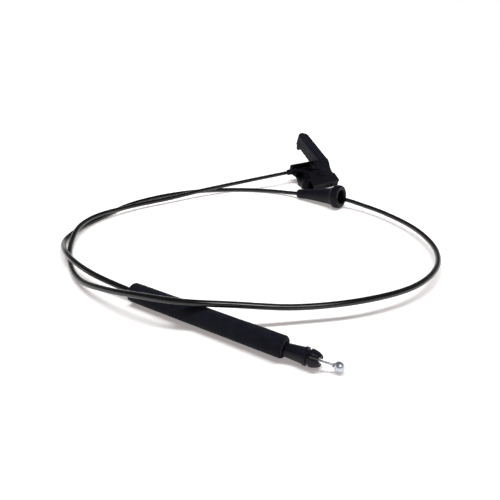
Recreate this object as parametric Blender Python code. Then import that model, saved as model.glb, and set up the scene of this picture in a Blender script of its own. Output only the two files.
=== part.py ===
"""Hood release handle with its cable: a moulded bracket and pull lever, a sheathed
cable, a bell-mouthed grommet, a foam sleeve, and a snap-in ferrule with a ball end.

The lever is modelled as pulled: the core wire is drawn in at the ball end.
Sizes are in millimetres, and add_piece turns them into metres.
The handle's pivot stands on a plane that is tilted to the bracket's base. Pieces of
the handle are drawn in that plane: +X along the cable, +Y across it, +Z up the pin,
with the deck's upper face at z = 0 and the pin's axis at x = y = 0.
"""
import math

import bmesh
import bpy
from mathutils import Matrix, Vector

METRES = 0.001
GAP = 0.3                    # between pieces that meet
ROUND_STEPS = 28             # faces round a turned piece
SMALL_STEPS = 16

# Conduit, core wire and the route of the conduit
CONDUIT_RADIUS = 2.5
WIRE_RADIUS = 0.75
WIRE_CLEARANCE = 0.4
SOCKET_DEPTH = 5.0           # how far a conduit end is pushed into its ferrule
ROUTE_SAMPLES = 73
FOAM_SAMPLES = 7             # of the conduit, inside the foam sleeve
CONDUIT_STRAIGHT = 5.0       # straight length at the handle's end and ahead of the foam

# Pivot plane and bracket
DECK_TILT = math.radians(13.0)
PIVOT_X = 11.0
PIVOT_Y = -5.5
DECK_HEIGHT = 14.5           # deck face above the base, at the pin
DECK_THICKNESS = 2.2
WALL = 2.2
SETBACK = 0.4                # a wall's face behind the edge of the deck or wall that it carries
BASE_THICKNESS = 2.0
DECK_FRONT = 25.0            # pin to the front edge
DECK_LEFT = 37.5             # pin to the left front corner
DECK_RIGHT = 12.3            # pin to the right front corner
BELOW_FLOOR = 34.0           # the walls are drawn this deep, then cut at the base
TRAY_FLOOR = 8.6             # depth of the cable tray below the deck face
TRAY_FLOOR_THICKNESS = 1.4
TRAY_BEHIND = 8.3            # cable's line to the inner face of the back wall
TRAY_BEFORE = 8.3            # cable's line to the tray floor's front edge, at its left end
TRAY_RIGHT = 22.8
BACK_WALL_RISE = 0.8
ANCHOR_LEFT = 31.0           # pin to the outer face of the wall that holds the cable
ANCHOR_WALL = 3.0
WINDOW_WIDTH = 13.0
WINDOW_HEIGHT = 4.4
RIB = 1.8
COLUMN_X = -24.7             # screw column, in the base's own frame
COLUMN_Y = -10.9
COLUMN_RADIUS = 6.5
COLUMN_HEIGHT = 12.4
SCREW_HOLE_RADIUS = 2.9

# Pivot pin
PIN_RADIUS = 3.0
PIN_CLEARANCE = 0.25
PIN_HEAD_RADIUS = 4.8
PIN_HEAD_HEIGHT = 1.3
BOSS_RADIUS = 7.6
BOSS_HEIGHT = 1.1
BOSS_RIM = 1.9
POST_RADIUS = 6.6
CLIP_RADIUS = 5.4
CLIP_THICKNESS = 0.8
CLIP_POCKET_RADIUS = 6.2
POST_SEAT = 11.2             # depth of the clip's seat below the deck face

# Lever: hub, forked arm, cranked neck and channel grip
HUB_RADIUS = 10.0
HUB_THICKNESS = 4.4
ARM_LENGTH = 28.3            # pin to the cable's line
ARM_ANGLE = math.radians(70.0)
ARM_REACH = 34.0
ARM_START = 17.0
WIRE_DEPTH = 4.2             # cable's line below the deck face
NIPPLE_RADIUS = 2.5
NIPPLE_LENGTH = 7.0
NIPPLE_CLEARANCE = 0.5
EAR_WALL = 2.5
WIRE_SLOT = 2.4
GRIP_LENGTH = 82.0
GRIP_WIDTH = 17.8
GRIP_DEPTH = 18.0
GRIP_FAR_RISE = 7.0          # how much shallower the grip's right-hand wall is
GRIP_WALL = 2.4
GRIP_TOP_WALL = 3.4
GRIP_WALL_START = 13.0
GRIP_ANGLE = math.radians(73.4)
GRIP_RISE = math.radians(6.9)
GRIP_ROOT = (28.0, 27.6, 7.0)
GRIP_EDGE_RADIUS = 2.2
GRIP_RIB = 1.6
GRIP_RIB_DEPTH = 6.0
NECK_INSET = 0.3             # the neck's faces inside those of the hub and the grip

# Ferrule that holds the conduit in the bracket
COLLAR_RADIUS = 4.1
COLLAR_LENGTH = 10.0
FLANGE_THICKNESS = 2.0
NOSE_LENGTH = 2.6
NOSE_RADIUS = 2.2
GROOVE_RADIUS = 3.0
LEAD_LENGTH = 24.0           # straight end of the conduit, hollow for the core wire

# Grommet, foam sleeve, snap ferrule and ball
GROMMET_SMALL_END = (-63.5, -37.0, 6.4)
GROMMET_MOUTH = (-49.0, -99.0, 15.05)
GROMMET_RADIUS = 5.8
GROMMET_FLANGE_RADIUS = 14.4
GROMMET_BORE_LENGTH = 12.0
GROMMET_BORE_CLEARANCE = 0.5
FOAM_START = (-346.5, -149.7)
FOAM_HEADING = math.radians(-68.7)
FOAM_LENGTH = 136.0
FOAM_RADIUS = 8.0
FOAM_BORE_CLEARANCE = 0.7
SNAP_PLACE = (-296.7, -276.3)      # where the snap ferrule leaves the foam
SNAP_HEADING = math.radians(-65.0)
SNAP_FLOOR_GAP = 0.1         # under the ferrule's collar and under the ball
SHANK_LENGTH = 12.0          # part of the snap ferrule inside the foam
SHANK_RADIUS = 4.4
SNAP_LENGTH = 24.5           # part of the snap ferrule outside the foam
SNAP_RADIUS = 4.7
SNAP_COLLAR_RADIUS = 6.3
SNAP_NECK_RADIUS = 4.9
SNAP_BARB_RADIUS = 6.1
SNAP_TIP_RADIUS = 4.0
SNAP_SLOT = 3.0
LINER_RADIUS = 2.1
BALL_AHEAD = 11.0            # ball's centre beyond the ferrule's tip
BALL_ASIDE = 3.0             # and to one side of the ferrule's axis
WIRE_STUB = 24.0             # wire inside the snap ferrule
BALL_RADIUS = 3.5
WIRE_SEAT = 2.6              # depth of the wire in the ball and in the nipple

# Route of the conduit, from the handle round the loops to the foam sleeve
ROUTE = [
    (-75.0, 28.5, 15.0), (-112.0, 38.5, 11.6), (-158.0, 46.8, 8.6), (-208.0, 50.0, 6.0),
    (-262.0, 50.5, 6.0), (-310.0, 37.0, 8.4), (-337.0, 15.0, 8.3), (-355.5, -16.0, 4.2),
    (-369.0, -58.0, 3.2), (-373.0, -100.0, 5.6), (-365.0, -141.0, 12.6), (-352.0, -175.0, 18.8),
    (-333.0, -204.0, 20.6), (-303.0, -225.0, 17.4), (-262.0, -250.0, 12.2), (-215.0, -273.0, 12.0),
    (-165.0, -282.5, 11.0), (-118.0, -273.0, 9.6), (-80.0, -247.5, 8.6), (-52.0, -207.0, 8.2),
    (-38.5, -160.0, 8.0), (-37.0, -125.0, 8.5), (-42.5, -99.0, 10.4), (-52.2, -75.0, 10.0),
    (-60.8, -48.6, 8.0), (-63.5, -37.0, 6.4), (-66.2, -25.5, 4.9), (-80.0, 3.0, 3.2),
    (-108.0, 33.0, 2.8), (-150.0, 60.0, 2.7), (-205.0, 73.0, 2.7), (-258.0, 67.0, 2.7),
    (-300.0, 45.0, 2.7), (-332.0, 25.5, 3.0), (-358.2, -5.0, 5.0), (-368.6, -50.0, 10.2),
    (-364.0, -98.0, 9.9),
]


def clear_scene():
    for item in list(bpy.data.objects):
        bpy.data.objects.remove(item, do_unlink=True)


def make_material(name, colour, roughness, metallic=0.0):
    material = bpy.data.materials.new(name)
    material.use_nodes = True
    shader = material.node_tree.nodes["Principled BSDF"]
    shader.inputs["Base Color"].default_value = (*colour, 1.0)
    shader.inputs["Roughness"].default_value = roughness
    shader.inputs["Metallic"].default_value = metallic
    return material


def make_frame(name, place, rotation):
    """An empty that carries the pieces drawn in its frame."""
    frame = bpy.data.objects.new(name, None)
    frame.matrix_world = Matrix.Translation(Vector(place) * METRES) @ rotation.to_4x4()
    bpy.context.scene.collection.objects.link(frame)
    return frame


def add_piece(name, shape, material, frame=None, place=(0.0, 0.0, 0.0)):
    """Turn a bmesh drawn in millimetres into a named object in metres."""
    bmesh.ops.recalc_face_normals(shape, faces=shape.faces)
    shape.transform(Matrix.Scale(METRES, 4))
    mesh = bpy.data.meshes.new(name)
    shape.to_mesh(mesh)
    shape.free()
    mesh.shade_smooth()
    mesh.set_sharp_from_angle(angle=math.radians(35.0))
    mesh.materials.append(material)
    piece = bpy.data.objects.new(name, mesh)
    piece.parent = frame
    piece.location = Vector(place) * METRES
    bpy.context.scene.collection.objects.link(piece)
    return piece


def apply_tool(piece, operation, name, shape, frame=None):
    """Join a shape to a piece, or cut it out, with a Boolean modifier."""
    tool = add_piece(name, shape, piece.data.materials[0], frame)
    tool.hide_render = True
    tool.display_type = "WIRE"
    modifier = piece.modifiers.new(name, "BOOLEAN")
    modifier.operation = operation
    modifier.solver = "EXACT"
    modifier.object = tool


def prism(outline, low, high):
    """Extrude a flat outline from one height to another."""
    shape = bmesh.new()
    corners = [shape.verts.new((x, y, low)) for x, y in outline]
    face = shape.faces.new(corners)
    grown = bmesh.ops.extrude_face_region(shape, geom=[face])
    top = [item for item in grown["geom"] if isinstance(item, bmesh.types.BMVert)]
    bmesh.ops.translate(shape, verts=top, vec=(0.0, 0.0, high - low))
    return shape


def block(x_range, y_range, z_range):
    x0, x1 = x_range
    y0, y1 = y_range
    return prism([(x0, y0), (x1, y0), (x1, y1), (x0, y1)], *z_range)


def arc(centre, radius, start, end, steps):
    """Points of an arc, with its angles in degrees."""
    points = []
    for step in range(steps + 1):
        angle = math.radians(start + (end - start) * step / steps)
        points.append((centre[0] + radius * math.cos(angle), centre[1] + radius * math.sin(angle)))
    return points


def rod(radius, low, high, centre=(0.0, 0.0), steps=ROUND_STEPS):
    """A cylinder along Z."""
    return prism(arc(centre, radius, 0.0, 360.0 - 360.0 / steps, steps - 1), low, high)


def turned(profile, along="X", steps=ROUND_STEPS):
    """Revolve a closed profile of (distance along the axis, radius) about X or Z."""
    shape = bmesh.new()
    axis = Vector((1.0, 0.0, 0.0)) if along == "X" else Vector((0.0, 0.0, 1.0))
    side = Vector((0.0, 0.0, 1.0)) if along == "X" else Vector((1.0, 0.0, 0.0))
    corners = [shape.verts.new(axis * distance + side * radius) for distance, radius in profile]
    face = shape.faces.new(corners)
    edges = list(face.edges)
    bmesh.ops.delete(shape, geom=[face], context="FACES_ONLY")
    bmesh.ops.spin(shape, geom=corners + edges, axis=axis, cent=(0.0, 0.0, 0.0),
                   angle=math.tau, steps=steps, use_merge=True, use_duplicate=False)
    bmesh.ops.remove_doubles(shape, verts=shape.verts, dist=0.001)
    bmesh.ops.dissolve_degenerate(shape, edges=shape.edges, dist=0.001)
    return shape


def loft(sections):
    """Join a row of four-cornered sections into one closed body."""
    shape = bmesh.new()
    rings = [[shape.verts.new(corner) for corner in section] for section in sections]
    shape.faces.new(rings[0])
    shape.faces.new(rings[-1])
    for near, far in zip(rings, rings[1:]):
        for index in range(4):
            after = (index + 1) % 4
            shape.faces.new((near[index], near[after], far[after], far[index]))
    bmesh.ops.triangulate(shape, faces=shape.faces)
    return shape


def smooth_route(points, samples):
    """Read evenly spaced points from a smooth curve through the route's own points."""
    track = [Vector(point) for point in points]
    track = [2.0 * track[0] - track[1]] + track + [2.0 * track[-1] - track[-2]]
    fine = []
    for index in range(1, len(track) - 2):
        p0, p1, p2, p3 = track[index - 1:index + 3]
        k0 = 0.0
        k1 = k0 + math.sqrt((p1 - p0).length)
        k2 = k1 + math.sqrt((p2 - p1).length)
        k3 = k2 + math.sqrt((p3 - p2).length)
        for step in range(24):
            k = k1 + (k2 - k1) * step / 24
            a1 = p0.lerp(p1, (k - k0) / (k1 - k0))
            a2 = p1.lerp(p2, (k - k1) / (k2 - k1))
            a3 = p2.lerp(p3, (k - k2) / (k3 - k2))
            b1 = a1.lerp(a2, (k - k0) / (k2 - k0))
            b2 = a2.lerp(a3, (k - k1) / (k3 - k1))
            fine.append(b1.lerp(b2, (k - k1) / (k2 - k1)))
    fine.append(track[-2])
    lengths = [0.0]
    for before, after in zip(fine, fine[1:]):
        lengths.append(lengths[-1] + (after - before).length)
    evenly = []
    index = 0
    for sample in range(samples):
        target = lengths[-1] * sample / (samples - 1)
        while index < len(fine) - 2 and lengths[index + 1] < target:
            index += 1
        share = (target - lengths[index]) / (lengths[index + 1] - lengths[index])
        evenly.append(fine[index].lerp(fine[index + 1], share))
    return evenly


def add_tube(name, points, radius, material, frame=None):
    """A capped round tube along a row of points."""
    curve = bpy.data.curves.new(name, "CURVE")
    curve.dimensions = "3D"
    curve.bevel_depth = radius * METRES
    curve.bevel_resolution = 3
    curve.use_fill_caps = True
    spline = curve.splines.new("POLY")
    spline.points.add(len(points) - 1)
    for target, point in zip(spline.points, points):
        target.co = (*(point * METRES), 1.0)
    curve.materials.append(material)
    tube = bpy.data.objects.new(name, curve)
    tube.parent = frame
    bpy.context.scene.collection.objects.link(tube)
    return tube


def make_bracket(material, frame):
    """One moulding: base, deck over the hub, cable tray, back wall, shelf and screw column."""
    hub_edge = HUB_RADIUS + 1.0
    tray_front = ARM_LENGTH - COLLAR_RADIUS - 2 * GAP
    deck_outline = [
        (-DECK_LEFT, -DECK_FRONT), (DECK_RIGHT, -DECK_FRONT), (22.0, -6.0), (19.0, 3.0),
        *arc((0.0, 0.0), hub_edge, 25.0, 115.0, 8),
        (-13.5, 10.5), (-18.5, tray_front - 6.6), (-19.5, tray_front), (-ANCHOR_LEFT + 1.0, tray_front),
        (-ANCHOR_LEFT + 1.0, tray_front - 2.6), (-22.5, tray_front - 8.6), (-18.6, 8.5), (-25.0, -2.0),
        (-33.5, -11.0),
    ]
    floor_low = -(TRAY_FLOOR + TRAY_FLOOR_THICKNESS)
    floor_front = ARM_LENGTH - TRAY_BEFORE
    tray_back = ARM_LENGTH + TRAY_BEHIND
    back = tray_back + WALL
    base_back = PIVOT_Y + back / math.cos(DECK_TILT) + DECK_HEIGHT * math.tan(DECK_TILT) + 0.9
    anchor_left = -ANCHOR_LEFT
    anchor_right = anchor_left + ANCHOR_WALL
    base_outline = [
        (-26.5, -27.0), (22.6, -27.0), (32.0, -9.0), (36.0, 6.0), (36.0, base_back), (16.0, base_back),
        (14.0, 12.0), (-6.0, 5.0), (-22.0, 0.0), (-28.0, -6.0), (-29.0, -16.0),
    ]
    bracket = add_piece("bracket", prism(base_outline, 0.0, BASE_THICKNESS), material)
    tray_left = anchor_left + SETBACK
    tray_floor = [(tray_left, floor_front), (-20.0, floor_front - 1.0), (-8.0, floor_front - 7.5),
                  (10.0, floor_front - 7.5), (24.0, floor_front),
                  (24.0, back - SETBACK), (tray_left + 4.0, back - SETBACK), (tray_left, back - 4.0)]
    back_wall = block((anchor_left + 3.0, TRAY_RIGHT + WALL), (tray_back, back), (floor_low, BACK_WALL_RISE))
    leg_back = block((7.0, TRAY_RIGHT + WALL - 2 * SETBACK), (tray_back + SETBACK, back - SETBACK),
                     (-BELOW_FLOOR, 0.3 - TRAY_FLOOR))
    leg_right = block((TRAY_RIGHT, TRAY_RIGHT + WALL - SETBACK), (floor_front + 4.0, back - 2 * SETBACK),
                      (-BELOW_FLOOR, -4.8))
    anchor = block((anchor_left, anchor_right), (floor_front + 0.5, back - 3.0), (floor_low + SETBACK, 0.6))
    guide = prism([(anchor_left + 1.0, tray_front - 1.8), (-20.8, tray_front - 1.8),
                   (-19.9, tray_front - 7.0), (-18.4, tray_front - 6.5),
                   (-19.3, tray_front - 0.2), (anchor_left + 1.0, tray_front - 0.2)], floor_low + 2 * SETBACK, 1.2)
    guard = prism([(-21.0, tray_front - 1.6), (-15.0, tray_front - 2.4), (-10.2, tray_front - 4.6),
                   (-9.6, tray_front - 3.2), (-14.6, tray_front - 0.9), (-21.0, tray_front - 0.3)], 0.1, 1.9)
    shelf_top = -TRAY_FLOOR - SETBACK
    shelf = prism([(tray_left + 0.6, floor_front + 2.0), (-37.0, 0.5), (-30.0, -3.0), (-24.0, -1.0),
                   (-17.0, 8.0), (-18.0, floor_front + 1.0)], floor_low + SETBACK, shelf_top)
    skirt_low = floor_low + 2 * SETBACK
    skirt_top = shelf_top - 0.1
    skirt_ends = []
    for x, y, low in ((tray_left + 0.8, floor_front + 1.5, skirt_low), (-38.6, -3.0, -24.0)):
        skirt_ends.append([(x, y, low), (x + WALL, y, low), (x + WALL, y, skirt_top), (x, y, skirt_top)])
    skirt = loft(skirt_ends)
    front_wall = block((SETBACK - DECK_LEFT, DECK_RIGHT - SETBACK), (SETBACK - DECK_FRONT, WALL - DECK_FRONT),
                       (-BELOW_FLOOR, -0.6))
    right_wall = prism([(DECK_RIGHT - 2 * SETBACK, 1.0 - DECK_FRONT), (21.4, -6.3), (19.4, -5.3),
                        (DECK_RIGHT - 2.8, 2.0 - DECK_FRONT)], -BELOW_FLOOR, -0.9)
    post = rod(POST_RADIUS, -BELOW_FLOOR, -DECK_THICKNESS - 2.0 * GAP - HUB_THICKNESS - 0.4)
    boss = turned([(-1.4, BOSS_RADIUS), (BOSS_HEIGHT - 0.5, BOSS_RADIUS), (BOSS_HEIGHT, BOSS_RADIUS - 0.5),
                   (BOSS_HEIGHT, BOSS_RADIUS - BOSS_RIM), (-1.4, BOSS_RADIUS - BOSS_RIM)], "Z")
    apply_tool(bracket, "UNION", "deck", prism(deck_outline, -DECK_THICKNESS, 0.0), frame)
    apply_tool(bracket, "UNION", "front_wall", front_wall, frame)
    apply_tool(bracket, "UNION", "right_wall", right_wall, frame)
    for index, (x, length) in enumerate(((-26.0, 21.0), (-14.0, 11.0))):
        rib = block((x - RIB / 2, x + RIB / 2), (1.0 - DECK_FRONT, length - DECK_FRONT), (-BELOW_FLOOR, -1.0))
        apply_tool(bracket, "UNION", "deck_rib_%d" % index, rib, frame)
    apply_tool(bracket, "UNION", "tray_floor", prism(tray_floor, floor_low, -TRAY_FLOOR), frame)
    apply_tool(bracket, "UNION", "back_wall", back_wall, frame)
    apply_tool(bracket, "UNION", "leg_back", leg_back, frame)
    apply_tool(bracket, "UNION", "leg_right", leg_right, frame)
    apply_tool(bracket, "UNION", "anchor", anchor, frame)
    apply_tool(bracket, "UNION", "guide", guide, frame)
    apply_tool(bracket, "UNION", "guard", guard, frame)
    apply_tool(bracket, "UNION", "shelf", shelf, frame)
    apply_tool(bracket, "UNION", "skirt", skirt, frame)
    apply_tool(bracket, "UNION", "post", post, frame)
    apply_tool(bracket, "UNION", "boss", boss, frame)
    column = rod(COLUMN_RADIUS, 0.4, COLUMN_HEIGHT, (COLUMN_X, COLUMN_Y))
    apply_tool(bracket, "UNION", "column", column)
    window = block((-WINDOW_WIDTH - 0.5, -0.5), (-DECK_FRONT - 3.0, -DECK_FRONT + WALL + 0.8),
                   (-3.0 - WINDOW_HEIGHT, -3.0))
    apply_tool(bracket, "DIFFERENCE", "window", window, frame)
    groove = GROOVE_RADIUS + GAP
    slot = prism([*arc((ARM_LENGTH, -WIRE_DEPTH), groove, 180.0, 360.0, 10), (ARM_LENGTH + groove, 6.0),
                  (ARM_LENGTH - groove, 6.0)], anchor_left - 2.0, anchor_right + 2.0)
    slot.transform(Matrix(((0, 0, 1, 0), (1, 0, 0, 0), (0, 1, 0, 0), (0, 0, 0, 1))))
    apply_tool(bracket, "DIFFERENCE", "anchor_slot", slot, frame)
    pin_hole = rod(PIN_RADIUS + PIN_CLEARANCE, -BELOW_FLOOR, 8.0)
    apply_tool(bracket, "DIFFERENCE", "pin_hole", pin_hole, frame)
    pocket = rod(CLIP_POCKET_RADIUS, -BELOW_FLOOR - 2.0, -POST_SEAT)
    apply_tool(bracket, "DIFFERENCE", "clip_pocket", pocket, frame)
    screw_hole = rod(SCREW_HOLE_RADIUS, -4.0, 30.0, (COLUMN_X, COLUMN_Y))
    apply_tool(bracket, "DIFFERENCE", "screw_hole", screw_hole)
    floor_cut = block((-90.0, 90.0), (-90.0, 90.0), (-90.0, 0.0))
    apply_tool(bracket, "DIFFERENCE", "floor_cut", floor_cut)
    return bracket


def make_lever(material, frame):
    """One moulding: hub, forked arm for the nipple, cranked neck and channel grip."""
    hub_top = -DECK_THICKNESS - GAP
    hub_low = hub_top - HUB_THICKNESS
    lever = add_piece("lever", rod(HUB_RADIUS, hub_low, hub_top, steps=36), material, frame)

    def section(left, right, top, low):
        return [(*left, low), (*right, low), (*right, top), (*left, top)]

    across = Vector((math.sin(GRIP_ANGLE), -math.cos(GRIP_ANGLE), 0.0))
    root = Vector(GRIP_ROOT)
    root_left = root - across * (GRIP_WIDTH / 2 - NECK_INSET)
    root_right = root + across * (GRIP_WIDTH / 2 - NECK_INSET)
    buried = Vector((math.cos(GRIP_ANGLE), math.sin(GRIP_ANGLE), 0.0)) * 5.0
    web_top = hub_top - NECK_INSET
    web_low = hub_low + NECK_INSET
    neck = loft([
        section((-7.0, -4.0), (5.0, -7.5), web_top, web_low),
        section((-3.5, 9.0), (20.0, -3.2), web_top, web_low),
        section((3.0, 17.0), (27.0, 4.0), web_top, web_low),
        section((9.0, 22.5), (31.0, 12.5), -0.5, -4.0),
        section((14.5, 27.0), (34.3, 19.5), 3.8, 0.2),
        section(root_left.xy, root_right.xy, root.z - NECK_INSET, root.z - GRIP_TOP_WALL + NECK_INSET),
        section((root_left + buried).xy, (root_right + buried).xy,
                root.z - NECK_INSET, root.z - GRIP_TOP_WALL + 4 * NECK_INSET),
    ])
    apply_tool(lever, "UNION", "neck", neck, frame)

    arm_turn = Matrix.Rotation(ARM_ANGLE, 4, "Z")
    half = NIPPLE_RADIUS + NIPPLE_CLEARANCE + EAR_WALL
    arm_low = -WIRE_DEPTH - NIPPLE_LENGTH / 2 - 0.2
    arm_top = -WIRE_DEPTH + NIPPLE_LENGTH / 2 + 0.2
    arm = block((HUB_RADIUS - 3.0, ARM_REACH), (-half, half), (arm_low, hub_top - 2 * NECK_INSET))
    arm.transform(arm_turn)
    apply_tool(lever, "UNION", "arm", arm, frame)
    ear = block((ARM_START, ARM_REACH - NECK_INSET), (NECK_INSET - half, half - NECK_INSET),
                (hub_low + 1.0, arm_top))
    ear.transform(arm_turn)
    apply_tool(lever, "UNION", "ear", ear, frame)

    grip_turn = Matrix.Translation(root) @ Matrix.Rotation(GRIP_ANGLE, 4, "Z")
    grip_turn = grip_turn @ Matrix.Rotation(-GRIP_RISE, 4, "Y")
    half_width = GRIP_WIDTH / 2
    end = GRIP_LENGTH - half_width
    outline = [(-1.0, -half_width), *arc((end, 0.0), half_width, -90.0, 90.0, 12), (-1.0, half_width)]
    skin = prism(outline, -GRIP_DEPTH, 0.0)
    top_edges = [edge for edge in skin.edges if all(vert.co.z > -0.01 for vert in edge.verts)]
    rim = [edge for edge in top_edges if all(vert.co.x > 0.01 for vert in edge.verts)
           or abs(edge.verts[0].co.y - edge.verts[1].co.y) < 0.01]
    bmesh.ops.bevel(skin, geom=rim, offset=GRIP_EDGE_RADIUS, segments=3, profile=0.5, affect="EDGES",
                    clamp_overlap=True, material=-1)
    skin.transform(grip_turn)
    apply_tool(lever, "UNION", "grip_skin", skin, frame)
    inner = half_width - GRIP_WALL
    hollow_outline = [(-6.0, -inner), *arc((end, 0.0), inner, -90.0, 90.0, 12), (-6.0, inner)]
    hollow = prism(hollow_outline, -GRIP_DEPTH - 4.0, -GRIP_TOP_WALL)
    hollow.transform(grip_turn)
    apply_tool(lever, "DIFFERENCE", "grip_hollow", hollow, frame)
    for index, along in enumerate((26.0, 44.0, 62.0)):
        rib = block((along, along + GRIP_RIB), (-inner - 0.8, inner + 0.8),
                    (-GRIP_TOP_WALL - GRIP_RIB_DEPTH, -GRIP_TOP_WALL + 0.8))
        rib.transform(grip_turn)
        apply_tool(lever, "UNION", "grip_rib_%d" % index, rib, frame)
    root_cut = loft([
        [(-8.0, -12.0, -GRIP_DEPTH - 4.0), (-8.0, 12.0, -GRIP_DEPTH - 4.0),
         (-8.0, 12.0, -GRIP_TOP_WALL), (-8.0, -12.0, -GRIP_TOP_WALL)],
        [(GRIP_WALL_START + 8.0, -12.0, -GRIP_DEPTH - 4.0), (GRIP_WALL_START + 8.0, 12.0, -GRIP_DEPTH - 4.0),
         (GRIP_WALL_START - 2.0, 12.0, -GRIP_TOP_WALL), (GRIP_WALL_START - 2.0, -12.0, -GRIP_TOP_WALL)],
    ])
    root_cut.transform(grip_turn)
    apply_tool(lever, "DIFFERENCE", "grip_root_cut", root_cut, frame)
    far_cut = block((-8.0, GRIP_LENGTH - 16.0), (-half_width - 2.0, -inner + 1.0),
                    (-GRIP_DEPTH - 4.0, GRIP_FAR_RISE - GRIP_DEPTH))
    far_cut.transform(grip_turn)
    apply_tool(lever, "DIFFERENCE", "grip_far_cut", far_cut, frame)

    nipple_half = NIPPLE_RADIUS + NIPPLE_CLEARANCE
    seat = ARM_LENGTH - NIPPLE_RADIUS - NIPPLE_CLEARANCE
    nipple_slot = block((seat, ARM_REACH + 8.0), (-nipple_half, nipple_half), (arm_low - 3.0, arm_top + 0.05))
    nipple_slot.transform(arm_turn)
    apply_tool(lever, "DIFFERENCE", "nipple_slot", nipple_slot, frame)
    wire_slot = block((seat + 0.2, ARM_REACH + 8.0), (-half - 0.4, half + 3.0),
                      (-WIRE_DEPTH - WIRE_SLOT / 2, -WIRE_DEPTH + WIRE_SLOT / 2))
    wire_slot.transform(arm_turn)
    apply_tool(lever, "DIFFERENCE", "wire_slot", wire_slot, frame)
    bore = rod(PIN_RADIUS + PIN_CLEARANCE, hub_low - 4.0, hub_top + 4.0)
    apply_tool(lever, "DIFFERENCE", "hub_bore", bore, frame)
    return lever


def make_pin(material, frame):
    """Headed pin, with a groove near its end for the clip."""
    end = -POST_SEAT - CLIP_THICKNESS - 2.0 * GAP - 0.9
    head_low = GAP
    groove_top = -POST_SEAT - GAP + 0.1
    groove_low = groove_top - CLIP_THICKNESS - 0.4
    profile = [
        (end, 0.0), (end, PIN_RADIUS - 0.4), (end + 0.4, PIN_RADIUS), (groove_low, PIN_RADIUS),
        (groove_low, PIN_RADIUS - 0.7), (groove_top, PIN_RADIUS - 0.7), (groove_top, PIN_RADIUS),
        (head_low, PIN_RADIUS), (head_low, PIN_HEAD_RADIUS), (head_low + 0.6, PIN_HEAD_RADIUS),
        (head_low + 1.1, PIN_HEAD_RADIUS - 0.9), (head_low + PIN_HEAD_HEIGHT, PIN_HEAD_RADIUS - 2.4),
        (head_low + PIN_HEAD_HEIGHT, 0.0),
    ]
    return add_piece("pivot_pin", turned(profile, "Z"), material, frame)


def make_clip(material, frame):
    """Flat spring ring in the pin's groove, open on one side."""
    top = -POST_SEAT - GAP
    inner = PIN_RADIUS - 0.7 + GAP
    outline = arc((0.0, 0.0), CLIP_RADIUS, -60.0, 240.0, 20) + arc((0.0, 0.0), inner, 225.0, -45.0, 18)
    return add_piece("pin_clip", prism(outline, top - CLIP_THICKNESS, top), material, frame)


def make_cable_start(plastic, sheath, steel, zinc, frame):
    """Ferrule in the bracket, the conduit's straight end, the core wire and its nipple."""
    outer = -ANCHOR_LEFT
    inner = outer + ANCHOR_WALL
    collar_left = outer - GAP - COLLAR_LENGTH
    flange_right = inner + GAP + FLANGE_THICKNESS
    nose_right = flange_right + NOSE_LENGTH
    bore = WIRE_RADIUS + WIRE_CLEARANCE
    socket = CONDUIT_RADIUS + GAP
    place = (0.0, ARM_LENGTH, -WIRE_DEPTH)
    profile = [
        (collar_left, socket), (collar_left, COLLAR_RADIUS - 0.8), (collar_left + 0.8, COLLAR_RADIUS),
        (outer - GAP - 0.6, COLLAR_RADIUS), (outer - GAP, COLLAR_RADIUS - 0.4), (outer - GAP, GROOVE_RADIUS),
        (inner + GAP, GROOVE_RADIUS), (inner + GAP, COLLAR_RADIUS), (flange_right, COLLAR_RADIUS),
        (flange_right, NOSE_RADIUS), (nose_right, NOSE_RADIUS - 0.4), (nose_right, bore),
        (collar_left + SOCKET_DEPTH, bore), (collar_left + SOCKET_DEPTH, socket),
    ]
    add_piece("handle_ferrule", turned(profile), plastic, frame, place)
    lead_right = collar_left + SOCKET_DEPTH - GAP
    lead = [(lead_right - LEAD_LENGTH, bore), (lead_right - LEAD_LENGTH, CONDUIT_RADIUS),
            (lead_right, CONDUIT_RADIUS), (lead_right, bore)]
    add_piece("conduit_lead", turned(lead, steps=SMALL_STEPS), sheath, frame, place)
    nipple_x = ARM_LENGTH / math.tan(ARM_ANGLE)
    wire_right = nipple_x - NIPPLE_RADIUS + WIRE_SEAT
    wire_left = flange_right - 1.0
    wire = [(wire_left, 0.0), (wire_left, WIRE_RADIUS), (wire_right, WIRE_RADIUS), (wire_right, 0.0)]
    add_piece("handle_wire", turned(wire, steps=SMALL_STEPS), steel, frame, place)
    half = NIPPLE_LENGTH / 2
    barrel = turned([(-half, 0.0), (-half, NIPPLE_RADIUS - 0.3), (0.3 - half, NIPPLE_RADIUS),
                     (half - 0.3, NIPPLE_RADIUS), (half, NIPPLE_RADIUS - 0.3), (half, 0.0)], "Z")
    nipple = add_piece("cable_nipple", barrel, zinc, frame, (nipple_x, ARM_LENGTH, -WIRE_DEPTH))
    seat_end = WIRE_SEAT - NIPPLE_RADIUS + GAP
    seat = turned([(-12.0, 0.0), (-12.0, WIRE_RADIUS + GAP), (seat_end, WIRE_RADIUS + GAP), (seat_end, 0.0)],
                  steps=SMALL_STEPS)
    seat.transform(Matrix.Translation((nipple_x, ARM_LENGTH, -WIRE_DEPTH)))
    apply_tool(nipple, "DIFFERENCE", "nipple_seat", seat, frame)
    return frame.matrix_world @ (Vector((lead_right - LEAD_LENGTH - GAP, ARM_LENGTH, -WIRE_DEPTH)) * METRES)


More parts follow.
